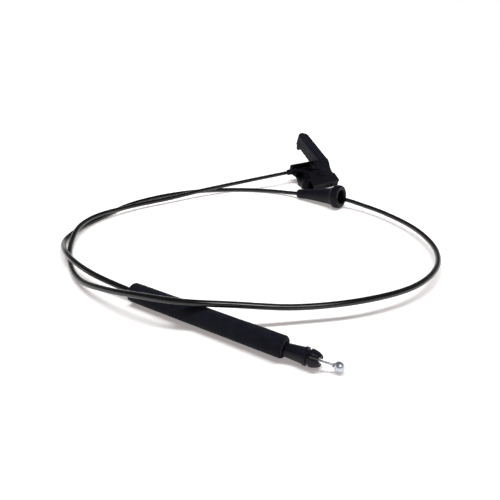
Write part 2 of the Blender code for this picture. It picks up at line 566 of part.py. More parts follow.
def make_grommet(material):
    """Rubber bell mouth: a close bore at the small end, open towards the flange."""
    small = Vector(GROMMET_SMALL_END)
    mouth = Vector(GROMMET_MOUTH)
    length = (mouth - small).length
    bore = CONDUIT_RADIUS + GROMMET_BORE_CLEARANCE
    flange = GROMMET_FLANGE_RADIUS
    profile = [
        (0.0, bore), (0.0, GROMMET_RADIUS - 0.6), (0.6, GROMMET_RADIUS), (length * 0.22, GROMMET_RADIUS + 0.7),
        (length * 0.5, GROMMET_RADIUS + 2.4), (length * 0.72, GROMMET_RADIUS + 4.2),
        (length - 8.0, GROMMET_RADIUS + 5.4),
        (length - 6.6, flange - 1.2), (length - 5.6, flange), (length - 2.2, flange),
        (length - 0.6, flange - 0.9), (length, flange - 2.2), (length - 0.9, flange - 3.0),
        (length - 6.0, flange - 4.4), (length * 0.72, GROMMET_RADIUS + 2.2),
        (length * 0.5, GROMMET_RADIUS + 0.4),
        (GROMMET_BORE_LENGTH + 6.0, bore + 1.2), (GROMMET_BORE_LENGTH, bore),
    ]
    frame = make_frame("grommet_frame", small, (mouth - small).to_track_quat("X", "Z").to_matrix())
    return add_piece("grommet", turned(profile, steps=32), material, frame)


def make_latch_end(foam, plastic, steel, zinc, foam_frame, frame):
    """Foam sleeve, snap-in ferrule on its steel liner, core wire and cast ball."""
    bore = CONDUIT_RADIUS + FOAM_BORE_CLEARANCE
    counterbore = SHANK_RADIUS + GAP
    wide = counterbore + 0.5
    sleeve = [
        (0.0, bore), (0.0, FOAM_RADIUS - 0.7), (0.7, FOAM_RADIUS), (FOAM_LENGTH - 0.7, FOAM_RADIUS),
        (FOAM_LENGTH, FOAM_RADIUS - 0.7), (FOAM_LENGTH, bore), (FOAM_LENGTH - SHANK_LENGTH + 2.0, bore),
        (FOAM_LENGTH - SHANK_LENGTH - 2.0, wide), (FOAM_LENGTH / 2, bore),
    ]
    cushion = add_piece("foam_sleeve", turned(sleeve), foam, foam_frame)
    seat_start = -SHANK_LENGTH - GAP
    room = turned([(seat_start, 0.0), (seat_start, counterbore), (6.0, counterbore), (6.0, 0.0)])
    apply_tool(cushion, "DIFFERENCE", "foam_counterbore", room, frame)
    rear = -SHANK_LENGTH
    tip = SNAP_LENGTH
    socket = CONDUIT_RADIUS + GAP
    liner_bore = LINER_RADIUS + GAP
    liner_left = rear + SOCKET_DEPTH
    head = tip - 7.0
    face = 2 * GAP
    profile = [
        (rear, socket), (rear, SHANK_RADIUS), (face, SHANK_RADIUS), (face, SNAP_RADIUS),
        (face + 10.5, SNAP_RADIUS + 0.8), (face + 13.0, SNAP_RADIUS + 1.1), (face + 13.0, SNAP_COLLAR_RADIUS),
        (face + 14.8, SNAP_COLLAR_RADIUS), (face + 15.2, SNAP_NECK_RADIUS), (head, SNAP_NECK_RADIUS),
        (head, SNAP_BARB_RADIUS), (head + 1.6, SNAP_BARB_RADIUS), (tip - 2.2, SNAP_TIP_RADIUS + 1.2),
        (tip, SNAP_TIP_RADIUS), (tip, liner_bore), (liner_left - GAP, liner_bore), (liner_left - GAP, socket),
    ]
    ferrule = add_piece("snap_ferrule", turned(profile), plastic, frame)
    for index in range(2):
        slot = block((head - 1.0, tip + 3.0), (-SNAP_SLOT / 2, SNAP_SLOT / 2), (-9.0, 9.0))
        slot.transform(Matrix.Rotation(math.radians(45.0 + 90.0 * index), 4, "X"))
        apply_tool(ferrule, "DIFFERENCE", "snap_slot_%d" % index, slot, frame)
    wire_bore = WIRE_RADIUS + WIRE_CLEARANCE
    liner_right = tip - 1.2
    liner = [(liner_left, wire_bore), (liner_left, LINER_RADIUS), (liner_right, LINER_RADIUS),
             (liner_right, wire_bore)]
    add_piece("ferrule_liner", turned(liner, steps=SMALL_STEPS), steel, frame)

    drop = SNAP_COLLAR_RADIUS - BALL_RADIUS
    centre = Vector((tip + BALL_AHEAD, BALL_ASIDE, -drop))
    bend = tip + 1.0
    reach = centre.x - bend
    into_ball = Vector((reach, 2.0 * BALL_ASIDE, -2.0 * drop)).normalized()
    route = [Vector((bend - WIRE_STUB, 0.0, 0.0)), Vector((bend - WIRE_STUB / 2, 0.0, 0.0))]
    for step in range(9):
        share = step / 8 * 0.9
        route.append(Vector((bend + reach * share, BALL_ASIDE * share * share, -drop * share * share)))
    route = [point for point in route if (centre - point).length > BALL_RADIUS - WIRE_SEAT + 0.4]
    route.append(centre - into_ball * (BALL_RADIUS - WIRE_SEAT))
    add_tube("latch_wire", route, WIRE_RADIUS, steel, frame)
    seat_end = WIRE_SEAT + GAP - BALL_RADIUS
    seat = WIRE_RADIUS + GAP
    start = 180.0 - math.degrees(math.asin(seat / BALL_RADIUS))
    ball = [(seat_end, 0.0), (seat_end, seat), *arc((0.0, 0.0), BALL_RADIUS, start, 6.0, 9), (BALL_RADIUS, 0.0)]
    shape = turned(ball, steps=24)
    shape.transform(into_ball.to_track_quat("X", "Z").to_matrix().to_4x4())
    add_piece("ball_end", shape, zinc, frame, centre)
    return rear + SOCKET_DEPTH - 2.0 * GAP


def make_conduit(material, start, foam_frame, snap_frame, end_x):
    """The sheathed conduit, on one smooth curve from the handle to the snap ferrule."""
    def on_axis(frame, along):
        return frame.matrix_world @ (Vector((along, 0.0, 0.0)) * METRES) / METRES

    start = start / METRES
    leave = start - Vector((CONDUIT_STRAIGHT, 0.0, 0.0))
    before_foam = on_axis(foam_frame, -CONDUIT_STRAIGHT)
    points = [start, *smooth_route([leave, *ROUTE, before_foam], ROUTE_SAMPLES)]
    in_foam = [before_foam, on_axis(foam_frame, 30.0), on_axis(foam_frame, FOAM_LENGTH / 2 + 5.0),
               on_axis(snap_frame, end_x - 12.0), on_axis(snap_frame, end_x)]
    points += smooth_route(in_foam, FOAM_SAMPLES)[1:]
    return add_tube("conduit", points, CONDUIT_RADIUS, material)


def main():
    clear_scene()
    moulded = make_material("black_nylon", (0.020, 0.020, 0.022), 0.42)
    sheath = make_material("black_sheath", (0.010, 0.010, 0.011), 0.25)
    rubber = make_material("black_rubber", (0.018, 0.018, 0.020), 0.55)
    foam = make_material("charcoal_foam", (0.030, 0.030, 0.034), 0.95)
    steel = make_material("bright_steel", (0.62, 0.62, 0.63), 0.28, 1.0)
    dark_steel = make_material("dark_steel", (0.05, 0.05, 0.055), 0.4, 1.0)
    zinc = make_material("cast_zinc", (0.66, 0.67, 0.69), 0.32, 1.0)

    pivot_frame = make_frame("pivot_frame", (PIVOT_X, PIVOT_Y, DECK_HEIGHT), Matrix.Rotation(DECK_TILT, 3, "X"))
    foam_frame = make_frame("foam_frame", (*FOAM_START, FOAM_RADIUS), Matrix.Rotation(FOAM_HEADING, 3, "Z"))
    snap_frame = make_frame("snap_frame", (*SNAP_PLACE, SNAP_COLLAR_RADIUS + SNAP_FLOOR_GAP),
                            Matrix.Rotation(SNAP_HEADING, 3, "Z"))
    bpy.context.view_layer.update()
    make_bracket(moulded, pivot_frame)
    make_lever(moulded, pivot_frame)
    make_pin(dark_steel, pivot_frame)
    make_clip(steel, pivot_frame)
    start = make_cable_start(moulded, sheath, steel, zinc, pivot_frame)
    make_grommet(rubber)
    end_x = make_latch_end(foam, moulded, steel, zinc, foam_frame, snap_frame)
    make_conduit(sheath, start, foam_frame, snap_frame, end_x)


main()
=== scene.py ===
# %% [markdown]
# # A hood release handle and its cable
# The part is the pull under a dashboard that opens the engine cover: a moulded bracket, a
# lever on a pin, a sheathed cable, a rubber grommet, a foam sleeve, and a snap-in ferrule
# with a ball on the core wire. The fixed frame gives every rigid piece its place. This
# lesson adds the camera and light, the cable and its soft pieces, the stranded core, and
# the finish of each surface. The part's sizes are written in millimetres, and the camera,
# the floor and the lamps in metres.

# %% Load the frame
import math

import bmesh
import bpy
from mathutils import Matrix, Vector, noise


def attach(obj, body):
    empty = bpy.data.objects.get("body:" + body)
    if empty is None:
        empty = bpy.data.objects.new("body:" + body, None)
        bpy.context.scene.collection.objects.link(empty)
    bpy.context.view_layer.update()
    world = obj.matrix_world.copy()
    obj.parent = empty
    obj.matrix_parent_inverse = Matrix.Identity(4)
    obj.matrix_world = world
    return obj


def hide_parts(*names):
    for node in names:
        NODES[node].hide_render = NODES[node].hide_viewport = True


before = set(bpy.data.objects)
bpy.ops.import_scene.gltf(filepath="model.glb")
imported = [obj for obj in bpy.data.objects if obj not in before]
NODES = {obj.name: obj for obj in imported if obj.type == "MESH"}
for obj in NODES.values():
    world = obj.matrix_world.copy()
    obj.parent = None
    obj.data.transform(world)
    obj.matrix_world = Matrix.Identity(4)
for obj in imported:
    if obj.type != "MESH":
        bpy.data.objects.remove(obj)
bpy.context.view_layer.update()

METRES = 0.001

# %% [markdown]
# ## Camera
# The photograph looks down at the loops by about 25 degrees. The cable is 5 mm thick along
# its whole length, so its width in the picture gives the distance at each place, and from
# that the camera's own place. A lens of about 32 mm gives the same strong perspective: the
# near side of the loops looks twice as thick as the far side.

# %% Camera
PICTURE_PIXELS = 500
FOCAL_PIXELS = 440
CAMERA_PLACE = (-0.4557, -0.4481, 0.187)
CAMERA_TILT = math.radians(64.95)
CAMERA_HEADING = math.radians(-37.1)
camera = bpy.data.objects.new("camera", bpy.data.cameras.new("camera"))
bpy.context.scene.collection.objects.link(camera)
camera.data.sensor_width = 36.0
camera.data.lens = camera.data.sensor_width * FOCAL_PIXELS / PICTURE_PIXELS
camera.data.clip_start = 0.01
camera.location = CAMERA_PLACE
camera.rotation_euler = (CAMERA_TILT, 0.0, CAMERA_HEADING)
bpy.context.scene.camera = camera
print("lens mm:", round(camera.data.lens, 2), "camera height mm:", round(camera.location.z / METRES))

# %% [markdown]
# ## Helpers for meshes
# Round pieces are drawn as half of their section, from the axis outwards, and spun once
# round. Pieces are drawn in millimetres in a frame of their own, then the mesh itself is
# moved to its place, so that the finished object sits at the origin, unturned. Vertices
# that lie closer together than half a micrometre are merged.

# %% Mesh helpers
MERGE = 0.0005


def finish_piece(name, shape, placement, body, smooth_angle=40.0):
    """A bmesh in millimetres becomes an object in metres, at its place in the frame."""
    bmesh.ops.remove_doubles(shape, verts=shape.verts, dist=MERGE)
    bmesh.ops.recalc_face_normals(shape, faces=shape.faces)
    shape.transform(placement)
    shape.transform(Matrix.Scale(METRES, 4))
    mesh = bpy.data.meshes.new(name)
    shape.to_mesh(mesh)
    shape.free()
    mesh.shade_smooth()
    mesh.set_sharp_from_angle(angle=math.radians(smooth_angle))
    piece = bpy.data.objects.new(name, mesh)
    bpy.context.scene.collection.objects.link(piece)
    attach(piece, body)
    print(name, "faces:", len(mesh.polygons))
    return piece


def spun(section, steps=64):
    """Spin a closed section of (distance along X, radius) once round the X axis."""
    shape = bmesh.new()
    ring = [shape.verts.new((along, 0.0, radius)) for along, radius in section]
    edges = [shape.edges.new((a, b)) for a, b in zip(ring, ring[1:] + ring[:1])]
    bmesh.ops.spin(shape, geom=ring + edges, cent=(0.0, 0.0, 0.0), axis=(1.0, 0.0, 0.0),
                   angle=math.tau, steps=steps, use_merge=True, use_duplicate=False)
    bmesh.ops.remove_doubles(shape, verts=shape.verts, dist=MERGE)
    bmesh.ops.dissolve_degenerate(shape, edges=shape.edges, dist=MERGE)
    return shape


def place(origin, heading_deg):
    """A frame at a point in millimetres, turned about Z by its heading."""
    return Matrix.Translation(origin) @ Matrix.Rotation(math.radians(heading_deg), 4, "Z")


print("meshes are merged within mm:", MERGE)

# %% [markdown]
# ## Frames of the pieces
# The handle's pivot stands on a plane that is tilted 13 degrees. The foam sleeve lies
# level on the floor with its axis one radius up, and the snap ferrule droops out of it
# until its collar touches the floor. The grommet leans on its flange. In the pivot's frame
# the wire runs along X, an arm's length to the side of the pin and a little below it. The
# places are those that the part was modelled with.

# %% Frames
FOAM_RADIUS = 8.0
TILT = math.radians(13.0)
PIVOT = Matrix.Translation((11.0, -5.5, 14.5)) @ Matrix.Rotation(TILT, 4, "X")
FOAM = place((-346.5, -149.7, FOAM_RADIUS), -68.7)
SNAP = place((-296.7, -276.3, 6.4), -65.0)
GROMMET_SMALL = Vector((-63.5, -37.0, 6.4))
GROMMET_MOUTH = Vector((-49.0, -99.0, 15.05))
GROMMET_AXIS = GROMMET_MOUTH - GROMMET_SMALL
GROMMET = Matrix.Translation(GROMMET_SMALL) @ GROMMET_AXIS.to_track_quat("X", "Z").to_matrix().to_4x4()
ARM_LENGTH = 28.3
WIRE_DEPTH = 4.2


def on_wire(x):
    """A point of the wire's line in the pivot's frame."""
    return Vector((x, ARM_LENGTH, -WIRE_DEPTH))


print("grommet length mm:", round(GROMMET_AXIS.length, 1))

# %% [markdown]
# ## The cable's route
# The conduit is a stiff tube: it leaves the handle straight, settles on the floor, goes
# round once, passes over the foam sleeve, runs through the grommet, crosses over itself
# twice, and ends inside the foam. A smooth curve is drawn through the listed points
# and read at even steps, which bends as a real cable does, with no corner and no straight.

# %% Route
ROUTE = [
    (-75.0, 28.5, 15.0), (-112.0, 38.5, 11.6), (-158.0, 46.8, 8.6), (-208.0, 50.0, 6.0),
    (-262.0, 50.5, 6.0), (-310.0, 37.0, 8.4), (-337.0, 15.0, 8.3), (-355.5, -16.0, 4.2),
    (-369.0, -58.0, 3.2), (-373.0, -100.0, 5.6), (-365.0, -141.0, 12.6), (-352.0, -175.0, 18.8),
    (-333.0, -204.0, 20.6), (-303.0, -225.0, 17.4), (-262.0, -250.0, 12.2), (-215.0, -273.0, 12.0),
    (-165.0, -282.5, 11.0), (-118.0, -273.0, 9.6), (-80.0, -247.5, 8.6), (-52.0, -207.0, 8.2),
    (-38.5, -160.0, 8.0), (-37.0, -125.0, 8.5), (-42.5, -99.0, 10.4), (-52.2, -75.0, 10.0),
    (-60.8, -48.6, 8.0), (-63.5, -37.0, 6.4), (-66.2, -25.5, 4.9), (-80.0, 3.0, 3.2),
    (-108.0, 33.0, 2.8), (-150.0, 60.0, 2.7), (-205.0, 73.0, 2.7), (-258.0, 67.0, 2.7),
    (-300.0, 45.0, 2.7), (-332.0, 25.5, 3.0), (-358.2, -5.0, 5.0), (-368.6, -50.0, 10.2),
    (-364.0, -98.0, 9.9),
]


def smooth_route(points, spacing, fineness=24):
    """Evenly spaced points of a smooth curve through the given points.

    Between two points the curve blends straight lines through them and their neighbours.
    The knots k1, k2 and k3 grow with the root of each distance, so close points stay smooth.
    """
    track = [Vector(point) for point in points]
    track = [2.0 * track[0] - track[1]] + track + [2.0 * track[-1] - track[-2]]
    fine = []
    for index in range(1, len(track) - 2):
        p0, p1, p2, p3 = track[index - 1:index + 3]
        k1 = math.sqrt((p1 - p0).length)
        k2 = k1 + math.sqrt((p2 - p1).length)
        k3 = k2 + math.sqrt((p3 - p2).length)
        for step in range(fineness):
            k = k1 + (k2 - k1) * step / fineness
            a1 = p0.lerp(p1, k / k1)
            a2 = p1.lerp(p2, (k - k1) / (k2 - k1))
            a3 = p2.lerp(p3, (k - k2) / (k3 - k2))
            b1 = a1.lerp(a2, k / k2)
            b2 = a2.lerp(a3, (k - k1) / (k3 - k1))
            fine.append(b1.lerp(b2, (k - k1) / (k2 - k1)))
    fine.append(track[-2])
    total = sum((b - a).length for a, b in zip(fine, fine[1:]))
    count = max(2, round(total / spacing))
    even, gone, index = [fine[0]], 0.0, 0
    for step in range(1, count):
        target = total * step / count
        while gone + (fine[index + 1] - fine[index]).length < target:
            gone += (fine[index + 1] - fine[index]).length
            index += 1
        piece = (fine[index + 1] - fine[index]).length
        even.append(fine[index].lerp(fine[index + 1], (target - gone) / piece))
    return even + [fine[-1]]


ROUTE_STEP = 4.0
LEAD_START = PIVOT @ on_wire(-36.6)
LEAD_END = PIVOT @ on_wire(-66.0)
in_foam = [FOAM @ Vector((along, 0.0, 0.0)) for along in (-5.0, 30.0, 73.0)]
in_snap = [SNAP @ Vector((along, 0.0, 0.0)) for along in (-19.6, -7.6)]
cable_line = [LEAD_START, *smooth_route([LEAD_END, *ROUTE, *in_foam, *in_snap], ROUTE_STEP)]

# %% [markdown]
# ## The sheath
# The conduit's black skin is a tube of even thickness from the handle to the snap ferrule.
# It could be a mesh swept along the route, but a curve with a round bevel stays editable.
# Each point of the curve carries the tube's radius, so the curve's own bevel is left at 1.

# %% Sheath of the cable
CONDUIT_RADIUS = 2.5


def tube_curve(name, lines, radius, resolution, body):
    """A curve object of round tubes, one for each line of points in millimetres."""
    curve = bpy.data.curves.new(name, "CURVE")
    curve.dimensions = "3D"
    curve.bevel_depth = 1.0
    curve.bevel_resolution = resolution
    curve.use_fill_caps = True
    for line in lines:
        spline = curve.splines.new("POLY")
        spline.points.add(len(line) - 1)
        for target, point in zip(spline.points, line):
            target.co = (*(point * METRES), 1.0)
            target.radius = radius * METRES
    tube = bpy.data.objects.new(name, curve)
    bpy.context.scene.collection.objects.link(tube)
    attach(tube, body)
    print(name, "tubes:", len(lines), "points in each:", len(lines[0]))
    return tube


cable_sheath = tube_curve("cable_sheath", [cable_line], CONDUIT_RADIUS, resolution=6, body="housing")
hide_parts("conduit", "conduit_lead")

# %% [markdown]
# ## The stranded core
# A release cable pulls on a small wire rope: six strands laid in a helix round a straight
# one. Each strand is a thin tube on its own line, worked out from the rope's line and two
# directions across it that are carried along without twisting.

# %% Wire rope
WIRE_RADIUS = 0.75
STRAND_RADIUS = WIRE_RADIUS / 3.0
OUTER_STRANDS = 6
ROPE_LAY = 6.5
ROPE_STEP = 0.45


def wire_rope(name, line, placement, body, node):
    """Six strands in a helix round a straight one, along a line in millimetres."""
    line = smooth_route(line, ROPE_STEP)
    across = (line[1] - line[0]).orthogonal().normalized()
    frames, gone = [], 0.0
    for index, point in enumerate(line):
        ahead = (line[min(index + 1, len(line) - 1)] - line[max(index - 1, 0)]).normalized()
        across = (across - ahead * across.dot(ahead)).normalized()
        frames.append((point, across, ahead.cross(across), gone))
        if index < len(line) - 1:
            gone += (line[index + 1] - point).length
    strands = []
    for strand in range(OUTER_STRANDS + 1):
        reach = 0.0 if strand == OUTER_STRANDS else WIRE_RADIUS * 2.0 / 3.0
        spots = []
        for point, side, up, along in frames:
            turn = math.tau * (along / ROPE_LAY + strand / OUTER_STRANDS)
            spots.append(placement @ (point + (side * math.cos(turn) + up * math.sin(turn)) * reach))
        strands.append(spots)
    rope = tube_curve(name, strands, STRAND_RADIUS, resolution=2, body=body)
    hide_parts(node)
    print(name, "length mm:", round(gone, 1))
    return rope


# %% [markdown]
# ## Two ends of the core
# At the latch the rope leaves the ferrule straight and then bends a little to the side and
# down, as in the photograph. The bend is a parabola, and the direction in which it ends is
# the ball's own axis. At the handle the rope is straight, and it ends in the barrel that
# the lever's fork holds.

# %% Ropes
BALL_CENTRE = Vector((35.5, 3.0, -2.8))
BEND_START = 25.5
BEND_REACH = BALL_CENTRE.x - BEND_START
INTO_BALL = Vector((BEND_REACH, 2.0 * BALL_CENTRE.y, 2.0 * BALL_CENTRE.z)).normalized()
BEND_POINTS = 7
BEND_SHOWN = 0.9
SHORT_OF_CENTRE = 0.9
latch_line = [Vector((1.5, 0.0, 0.0)), Vector((13.5, 0.0, 0.0))]
for step in range(BEND_POINTS):
    share = BEND_SHOWN * step / (BEND_POINTS + 1)
    latch_line.append(Vector((BEND_START + BEND_REACH * share, BALL_CENTRE.y * share ** 2,
                              BALL_CENTRE.z * share ** 2)))
latch_line.append(BALL_CENTRE - INTO_BALL * SHORT_OF_CENTRE)
latch_rope = wire_rope("latch_core_rope", latch_line, SNAP, "latch_core", "latch_wire")

ARM_ANGLE = math.radians(70.0)
NIPPLE_X = ARM_LENGTH / math.tan(ARM_ANGLE)
handle_line = [on_wire(x) for x in (-26.7, -14.0, -2.0, NIPPLE_X + 0.1)]
handle_rope = wire_rope("handle_core_rope", handle_line, PIVOT, "handle_core", "handle_wire")

# %% [markdown]
# ## The cast ball
# The ball is die cast round the end of the rope. It has a short collar where the rope
# goes in, a fine seam where the halves of the die met, and a small flat where the gate
# was broken off. Half of its section is spun round the rope's direction, and the vertices
# on the seam are lifted by a twentieth of a millimetre.

# %% Ball
BALL_RADIUS = 3.45
COLLAR_DEGREES = 148.0
ARC_STEPS = 24
SEAM_LIFT = 1.014
GATE = Vector((0.2, 0.8, 0.57))
GATE_HEIGHT = 3.33
ball_section = [(-0.6, 0.0), (-0.6, 1.05), (-4.1, 1.05), (-4.2, 1.5), (-3.0, 1.85)]
for step in range(ARC_STEPS + 1):
    angle = math.radians(COLLAR_DEGREES - step * COLLAR_DEGREES / ARC_STEPS)
    ball_section.append((BALL_RADIUS * math.cos(angle), max(0.0, BALL_RADIUS * math.sin(angle))))
ball_shape = spun(ball_section, steps=64)
for vert in ball_shape.verts:
    if abs(vert.co.y) < 0.02 and vert.co.length > 3.3:
        vert.co *= SEAM_LIFT
near_gate = [vert for vert in ball_shape.verts if vert.co.normalized().dot(GATE) > 0.965]
for vert in near_gate:
    vert.co -= GATE * (vert.co.dot(GATE) - GATE_HEIGHT)
ball_turn = Matrix.Translation(BALL_CENTRE) @ INTO_BALL.to_track_quat("X", "Z").to_matrix().to_4x4()
cast_ball = finish_piece("cast_ball", ball_shape, SNAP @ ball_turn, "latch_core")
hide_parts("ball_end")

# %% [markdown]
# ## The foam sleeve
# A sleeve of closed-cell foam keeps the cable from rattling on the body. It is cut from a
# long extruded tube with a knife, so its ends are flat with soft rims, and its side is
# slightly uneven. The section is spun with many rings, and a slow and a fine noise then
# pull the side in by up to a third of a millimetre. The hole at the latch end sits low,
# because the ferrule's weight rests on the floor.

# %% Foam sleeve
FOAM_LENGTH = 136.0
CABLE_HOLE = 3.3
FERRULE_HOLE = 4.75
FOAM_RINGS = 92
SLOW_PULL = 0.22
SLOW_ALONG = 0.06
SLOW_ACROSS = 0.12
FINE_PULL = 0.14
FINE_SCALE = 0.55
cable_rim = [(9.0, CABLE_HOLE), (0.6, CABLE_HOLE), (0.1, 3.8), (0.0, 4.6), (0.0, 6.4), (0.25, 7.4),
             (0.7, FOAM_RADIUS - 0.1)]
side = [(FOAM_LENGTH * step / FOAM_RINGS, FOAM_RADIUS) for step in range(1, FOAM_RINGS - 1)]
latch_rim = [(FOAM_LENGTH - back, radius) for back, radius in (
    (1.8, FOAM_RADIUS), (1.0, FOAM_RADIUS - 0.25), (0.5, 7.4), (0.15, 6.9), (0.0, 6.2), (0.3, 4.95),
    (1.0, FERRULE_HOLE), (11.0, FERRULE_HOLE))]
foam_shape = spun(cable_rim + side + latch_rim, steps=96)
snap_in_foam = (FOAM.inverted() @ SNAP).translation
for vert in foam_shape.verts:
    radius = math.hypot(vert.co.y, vert.co.z)
    in_ferrule_hole = radius < 5.0 and vert.co.x > FOAM_LENGTH / 2
    on_side = radius > 7.0
    if in_ferrule_hole:
        vert.co.y += snap_in_foam.y
        vert.co.z += snap_in_foam.z
    elif on_side:
        wave = Vector((vert.co.x * SLOW_ALONG, vert.co.y * SLOW_ACROSS, vert.co.z * SLOW_ACROSS))
        slow = 0.5 + 0.5 * noise.noise(wave)
        fine = 0.5 + 0.5 * noise.noise(vert.co * FINE_SCALE)
        pull = SLOW_PULL * slow + FINE_PULL * fine
        vert.co.y *= 1.0 - pull / radius
        vert.co.z *= 1.0 - pull / radius
foam_sleeve = finish_piece("foam_sleeve_skin", foam_shape, FOAM, "housing")
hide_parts("foam_sleeve")
print("ferrule below the foam's axis mm:", round(-snap_in_foam.z, 2))

# %% [markdown]
# ## The grommet
# The bell mouth seals the hole where the cable passes the bulkhead: the flange presses on
# the metal, and the long tapered nose keeps water out. It is moulded in soft rubber in one
# piece, with bands at the nose, round rims, and a fine seam down each side. Its section
# runs up the outside from nose to flange and back down the inside, and its corners are
# rounded before it is spun. The seam is lifted only outside a cone that lies between the
# two walls.

# %% Rounded corners
SHORTEST_REACH = 0.02
EDGE_SHARE = 0.45


def rounded(section, radius, steps=3):
    """Round off the corners of a closed section by up to a radius, or less where edges are short."""
    points = [Vector(point) for point in section]
    result = []
    for index, corner in enumerate(points):
        before, after = points[index - 1], points[(index + 1) % len(points)]
        reach = min(radius, (before - corner).length * EDGE_SHARE, (after - corner).length * EDGE_SHARE)
        if reach < SHORTEST_REACH:
            result.append(corner)
            continue
        start = corner + (before - corner).normalized() * reach
        end = corner + (after - corner).normalized() * reach
        for step in range(steps + 1):
            share = step / steps
            result.append(start.lerp(corner, share).lerp(corner.lerp(end, share), share))
    return [tuple(point) for point in result]


print("points in a rounded corner:", len(rounded([(0.0, 1.0), (5.0, 1.0), (5.0, 6.0)], 0.5)) // 3)

# %% Grommet
SEAM_HEIGHT = 0.14
length = GROMMET_AXIS.length
nose = [(0.0, 3.0), (0.0, 5.2), (0.6, 5.8), (3.0, 5.85), (3.3, 6.15), (4.6, 6.2), (4.9, 5.95), (7.4, 6.0),
        (7.7, 6.35), (9.0, 6.4), (9.3, 6.15)]
taper = [(length * share, radius) for share, radius in (
    (0.24, 6.5), (0.36, 7.2), (0.5, 8.2), (0.62, 9.2), (0.72, 10.0))]
flange = [(length - back, radius) for back, radius in (
    (12.6, 11.2), (10.6, 12.1), (9.4, 13.4), (8.2, 14.1), (6.4, 14.35), (2.6, 14.3), (0.8, 13.6),
    (0.0, 12.0))]
inside = [(length - 0.3, 9.4), (length - 1.4, 8.3), (length - 5.0, 7.6), (length * 0.72, 7.2),
          (length * 0.5, 6.2), (22.0, 4.8), (15.0, 3.9), (12.0, 3.0)]
grommet_shape = spun(rounded(nose + taper + flange + inside, 0.5), steps=80)
for vert in grommet_shape.verts:
    radius = math.hypot(vert.co.y, vert.co.z)
    between_walls = max(5.5, 5.2 + vert.co.x * 0.085)
    outside = radius > between_walls and vert.co.x < length - 7.0
    if outside and abs(vert.co.z) < 0.05:
        vert.co.y *= 1.0 + SEAM_HEIGHT / radius
grommet_skin = finish_piece("grommet_skin", grommet_shape, GROMMET, "housing")
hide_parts("grommet")

# %% [markdown]
# ## Web and finger lip of the grip
# The grip is a channel, open below. Where it meets the lever's neck, a thin upright web
# closes the corner between them and carries the pull into the hub. At the tip the left
# wall runs down into a rounded lip for the fingers. Both are moulded in one piece with the
# lever, so they turn with it. Each outline is drawn, extruded across and rounded.

# %% Web and lip
GRIP_ROOT = (28.0, 27.6, 7.0)
GRIP_HEADING = math.radians(73.4)
GRIP_RISE = math.radians(6.9)
GRIP = (PIVOT @ Matrix.Translation(GRIP_ROOT) @ Matrix.Rotation(GRIP_HEADING, 4, "Z")
        @ Matrix.Rotation(-GRIP_RISE, 4, "Y"))


def moulded_web(name, outline, near, thick, radius):
    """An upright plate in the grip's frame: an outline along the grip, extruded across it."""
    shape = bmesh.new()
    face = shape.faces.new([shape.verts.new((x, near, z)) for x, z in outline])
    grown = bmesh.ops.extrude_face_region(shape, geom=[face])["geom"]
    far_side = [item for item in grown if isinstance(item, bmesh.types.BMVert)]
    bmesh.ops.translate(shape, verts=far_side, vec=(0.0, thick, 0.0))
    bmesh.ops.recalc_face_normals(shape, faces=shape.faces)
    bmesh.ops.bevel(shape, geom=shape.edges, offset=radius, segments=3, profile=0.5,
                    affect="EDGES", material=-1)
    return finish_piece(name, shape, GRIP, "lever", smooth_angle=60.0)


web_outline = [(-2.5, -2.2), (-2.5, -8.2), (0.3, -10.4), (2.2, -10.4), (3.7, -6.9), (8.0, -7.1),
               (12.5, -10.5), (20.0, -16.0), (21.5, -14.0), (18.0, -2.0)]
lip_outline = [(73.2, -9.0), (73.4, -17.5), (72.0, -21.5), (69.0, -24.2), (65.5, -24.0),
               (62.5, -21.5), (60.5, -17.0), (62.0, -9.0)]
web = moulded_web("grip_web", web_outline, near=6.6, thick=2.1, radius=0.3)
lip = moulded_web("finger_lip", lip_outline, near=6.3, thick=2.75, radius=0.8)

# %% [markdown]
# ## Under side of the neck
# The neck rises from the hub to the grip like a ramp. Just below its top skin the moulding
# is filled solid, so that no light passes under the grip. Three oblong rings are drawn
# along the ramp, and each is bridged to the next.

# %% Neck fill
NECK_RINGS = [
    {"left": (12.1, 24.5), "right": (32.3, 16.3), "top": 1.55, "low": 0.95},
    {"left": (14.8, 26.8), "right": (34.0, 19.7), "top": 3.65, "low": 1.6},
    {"left": (20.1, 29.9), "right": (35.9, 25.3), "top": 6.5, "low": 3.9},
]
fill_shape = bmesh.new()
loops = []
for ring in NECK_RINGS:
    spots = [(*ring[side], ring[level]) for side, level in (
        ("left", "low"), ("right", "low"), ("right", "top"), ("left", "top"))]
    corners = [fill_shape.verts.new(spot) for spot in spots]
    loops.append([fill_shape.edges.new((a, b)) for a, b in zip(corners, corners[1:] + corners[:1])])
bmesh.ops.bridge_loops(fill_shape, edges=loops[0] + loops[1])
bmesh.ops.bridge_loops(fill_shape, edges=loops[1] + loops[2])
bmesh.ops.holes_fill(fill_shape, edges=fill_shape.edges, sides=4)
neck_fill = finish_piece("neck_fill", fill_shape, PIVOT, "lever")

# %% [markdown]
# ## Floor of the tray
# Between the cable tray and the screw column a thin floor closes the bracket from below.
# It is a flat plate under the lever's arm, with rounded edges like the rest.

# %% Tray floor
PLATE_CENTRE = (-16.5, 10.0, -9.4)
PLATE_SIZE = (11.0, 15.0, 1.0)
plate_shape = bmesh.new()
bmesh.ops.create_cube(plate_shape, size=1.0)
bmesh.ops.transform(plate_shape, verts=plate_shape.verts,
                    matrix=Matrix.Translation(PLATE_CENTRE) @ Matrix.Diagonal((*PLATE_SIZE, 1.0)))
bmesh.ops.bevel(plate_shape, geom=plate_shape.edges, offset=0.3, segments=2, profile=0.5,
                affect="EDGES", material=-1)
tray_floor = finish_piece("tray_floor", plate_shape, PIVOT, "housing", smooth_angle=60.0)

